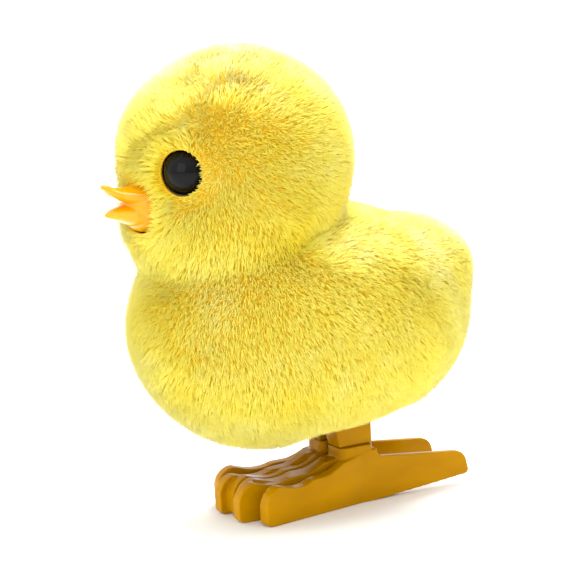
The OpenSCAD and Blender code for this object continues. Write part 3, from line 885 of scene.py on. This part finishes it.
def strand_shapes(p, n, rng):
    """Root, middle and tip of each strand, and a shade for the clump that it stands in."""
    comb, lean, length = pile_field(p, n)
    length = length * rng.uniform(*LENGTH_SPREAD, len(p))
    lean = lean * rng.uniform(*LEAN_SPREAD, len(p))
    stray = rng.normal(size=p.shape) * STRAY
    centre, shade = nearest_clump(p * CLUMP_STRETCH)
    pull = centre / CLUMP_STRETCH - p
    pull = pull - (pull * n).sum(1)[:, None] * n
    lower = unit(n + comb * (lean * LOWER_LEAN)[:, None] + stray)
    upper = unit(n + comb * (lean * UPPER_LEAN)[:, None] + stray * TIP_STRAY)
    root = p - ROOT_DEPTH * n
    mid = root + lower * (length * LOWER_PART)[:, None] + pull * MID_PULL
    tip = mid + upper * (length * UPPER_PART)[:, None] + pull * TIP_PULL
    return root, mid, tip, shade


def strand_zones(p, n):
    """The coat's areas; a strand belongs to the first one that it is in."""
    head, front = p[:, 2] >= HEAD_FROM_Z, p[:, 1] < FRONT_TO_Y
    return {
        "crown": p[:, 2] >= CROWN_FROM_Z,
        "face": head & front,
        "nape": head,
        "tail": p[:, 1] > TAIL_FROM_Y,
        "breast": front,
        "back": n[:, 2] > BACK_FROM_SLOPE,
        "belly": n[:, 2] < BELLY_TO_SLOPE,
        "flank": np.full(len(p), True),
    }


def strand_mesh(name, root, mid, tip, sides):
    """Closed tapered strands: a ring of points at the root, one at the middle, and the tip."""
    low = [root + STRAND_R * ROOT_WIDTH * side for side in sides]
    high = [mid + STRAND_R * MID_WIDTH * side for side in sides]
    points = np.stack([*low, *high, tip], 1)
    start = (np.arange(len(root)) * points.shape[1])[:, None, None]
    quads = start + np.array([[0, 1, 4, 3], [1, 2, 5, 4], [2, 0, 3, 5]])
    tris = start + np.array([[3, 4, 6], [4, 5, 6], [5, 3, 6], [2, 1, 0]])
    return new_mesh(name, points.reshape(-1, 3), [quads.reshape(-1, 4), tris.reshape(-1, 3)])


def fur_piece(name, root, mid, tip, shade, tone, n):
    """One piece of pile, with its colour values on its points."""
    along = unit(mid - root)
    # The small shift keeps the product from vanishing for a strand that stands along n
    u = unit(np.cross(along, n + 0.01))
    v = np.cross(along, u)
    turns = [2 * math.pi * k / STRAND_SIDES for k in range(STRAND_SIDES)]
    sides = [math.cos(a) * u + math.sin(a) * v for a in turns]
    obj = strand_mesh(name, root, mid, tip, sides)
    own = np.stack([*sides, *sides, unit(tip - mid)], 1)
    normals = unit(BODY_SHARE * n[:, None] + (1 - BODY_SHARE) * own).reshape(-1, 3)
    obj.data.normals_split_custom_set_from_vertices(normals.astype(np.float32))
    height = [0.0] * STRAND_SIDES + [MID_HEIGHT] * STRAND_SIDES + [1.0]
    values = {"height": np.tile(height, len(root)), "shade": np.repeat(shade, len(height)),
        "tone": np.repeat(tone, len(height))}
    for label, numbers in values.items():
        layer = obj.data.attributes.new(label, "FLOAT", "POINT")
        layer.data.foreach_set("value", numbers.astype(np.float32))
    return obj


def make_pile():
    """The pile, in one piece for each area of the coat and each side of the chick."""
    rng = np.random.default_rng(PILE_SEED)
    d, n = strand_roots(rng)
    p = on_coat(d, SKIN_INSET)
    clear = keep_clear(p)
    n, p = n[clear], p[clear]
    root, mid, tip, shade = strand_shapes(p, n, rng)
    tone = rng.uniform(0, 1, len(p))
    # Painted shade: the pile's colour is deeper round the beak, the eyes, the crown's sides and in the neck's
    # fold
    shade = BASE_SHADE + CLUMP_SHADE * shade + PAINTED_SHADE_WEIGHT * painted_shade_patches(p)
    # Painted light: pile that faces upwards is paler, as if lit from above
    shade = shade + PAINTED_TOP_LIGHT * smooth_step(0.1, 1.0, n[:, 2])
    free = np.full(len(p), True)
    pieces = []
    for zone, inside in strand_zones(p, n).items():
        for side, on_side in (("left", p[:, 0] > 0), ("right", p[:, 0] <= 0)):
            mine = inside & on_side & free
            free &= ~mine
            values = [each[mine] for each in (root, mid, tip, shade, tone, n)]
            pieces.append(fur_piece(f"fur_{side}_{zone}", *values))
    return pieces


# ---------------------------------------------------------------- face

# The eye's dome: its top, its edge and the ball it is part of, along the eye's axis
EYE_RISE, EYE_SIT, EYE_BALL = -0.1, -2.2, 4.14
EYE_STEPS = 14
EYE_STEM_R = 1.2
EYE_STEM_END = -8.0
EYE_BACK = -2.8

# Each half of the beak as stations along its middle: y, z, half width, half height
UPPER_BEAK = [(-29.6, 57.2, 4.9, 1.9), (-31.8, 57.2, 4.1, 1.35), (-33.4, 57.5, 2.8, 1.0),
    (-34.9, 58.1, 1.7, 0.8), (-35.9, 58.9, 0.95, 0.5)]
LOWER_BEAK = [(-29.6, 54.0, 4.8, 2.3), (-31.8, 54.1, 4.0, 1.8), (-33.3, 54.3, 2.8, 1.25),
    (-34.7, 54.4, 1.5, 0.85), (-35.7, 54.3, 0.6, 0.4)]
BEAK_ROOT, BEAK_ROOT_R = (0, -29.3, 55.2), (5.2, 3.4, 4.3)

# Depth of the balls that make the beak: a share of their height but no less than this, and at the tip
# a share of their width
BALL_DEPTH, LEAST_DEPTH, TIP_DEPTH = 0.8, 0.4, 0.7


def make_eye(name, mat):
    """A glossy domed button on a stem, with a rounded rim."""
    profile = [(0, EYE_STEM_END), (EYE_STEM_R, EYE_STEM_END), (EYE_STEM_R, EYE_BACK), (EYE_R - 0.3, EYE_BACK),
        (EYE_R - 0.08, EYE_BACK + 0.1), (EYE_R, EYE_BACK + 0.3), (EYE_R, EYE_SIT - 0.2)]
    edge = math.asin(EYE_R / EYE_BALL)
    for i in range(EYE_STEPS):
        a = edge * (1 - i / EYE_STEPS)
        profile.append((EYE_BALL * math.sin(a), EYE_RISE - EYE_BALL + EYE_BALL * math.cos(a)))
    profile.append((0, EYE_RISE))
    obj = revolved(f"{name}_eye_button", profile, eye_place(SIDES[name]))
    finish_piece(obj, mat, "chick", "eyes", f"{name}_eye")


def ball_at(work, middle, radii):
    made = bmesh.ops.create_uvsphere(work, u_segments=28, v_segments=18, radius=1.0)["verts"]
    for v in made:
        v.co = Vector([c * r + m for c, r, m in zip(v.co, radii, middle)])


def sweep(work, stations, steps=9):
    """A row of balls from station to station, close enough to remesh into one bill."""
    for a, b in zip(stations, stations[1:]):
        for i in range(steps):
            y, z, w, h = (np.array(a) + (np.array(b) - np.array(a)) * i / steps)
            ball_at(work, (0, y, z), (w, max(h * BALL_DEPTH, LEAST_DEPTH), h))
    y, z, w, h = stations[-1]
    ball_at(work, (0, y, z), (w, w * TIP_DEPTH, h))


def make_beak(mat):
    """An open beak with a scooped upper half, a pointed lower half and a full root."""
    work = bmesh.new()
    sweep(work, UPPER_BEAK)
    sweep(work, LOWER_BEAK)
    ball_at(work, BEAK_ROOT, BEAK_ROOT_R)
    for v in work.verts:
        v.co = Vector(place(v.co)[0])
    obj = from_work("beak_shell", work)
    soften(obj, 0.13, 5)
    finish_piece(obj, mat, "chick", "beak", "beak")


# ---------------------------------------------------------------- mouldings, inner parts and floor

# CAD nodes remade with soft edges: body, material slot, voxel size and rounds of smoothing
MOULDINGS = {
    "left_foot": ("legs", "legs", 0.15, 10),
    "left_shin": ("legs", "legs", 0.14, 4),
    "right_foot": ("legs", "legs", 0.15, 10),
    "right_shin": ("legs", "legs", 0.14, 4),
    "winding_key": ("winding", "key", 0.16, 6),
}

NODE_FINISH = {
    "form_plastic": ["left_form", "right_form", "face_washers", "second_gear", "cam_pinion", "hop_cam"],
    "case_plastic": ["left_case", "right_case"],
    "amber_plastic": ["leg_lever"],
    "bright_steel": ["form_screws", "case_screws", "case_mount_screws", "winding_arbor", "ratchet_wheel",
        "ratchet_click", "second_arbor", "cam_arbor", "leg_pivot", "leg_screws"],
    "spring_steel": ["mainspring", "leg_spring"],
    "brass": ["main_gear"],
}

FLOOR_HALF = 3.0


def make_mouldings(mat):
    for node, (body, slot, voxel, rounds) in MOULDINGS.items():
        piece = copy_of(node, f"{node}_moulding")
        soften(piece, voxel, rounds)
        finish_piece(piece, mat, body, slot, node)


def finish_nodes(mats):
    for name, nodes in NODE_FINISH.items():
        for node in nodes:
            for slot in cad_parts[node].material_slots:
                slot.link = "OBJECT"
                slot.material = mats[name]


def add_floor():
    mesh = bpy.data.meshes.new("floor")
    corners = [(x * FLOOR_HALF, y * FLOOR_HALF, 0) for x, y in ((-1, -1), (1, -1), (1, 1), (-1, 1))]
    mesh.from_pydata(corners, [], [(0, 1, 2, 3)])
    f = Finish("studio_floor", Specular_IOR_Level=0.2)
    f.colour(f.noise(60, 2), [(0.3, (0.82, 0.82, 0.82)), (0.7, (0.84, 0.84, 0.84))])
    f.roughness(f.noise(20, 2), 0.6, 0.7)
    mesh.materials.append(f.mat)
    add_object("floor", mesh)


def build():
    add_camera()
    bpy.context.scene.view_settings.view_transform = "Standard"
    add_world()
    for light in LIGHTS:
        add_softbox(*light)
    mats = make_materials()
    skin = finish_piece(make_skin(), skin_material(), "chick", "coat", "plush_cover")
    pile_mat = pile_material()
    pile = [finish_piece(piece, pile_mat, "chick", "coat") for piece in make_pile()]
    for name in SIDES:
        make_eye(name, mats["eye_plastic"])
    make_beak(mats["beak_plastic"])
    make_mouldings(mats["amber_plastic"])
    finish_nodes(mats)
    add_floor()


build()
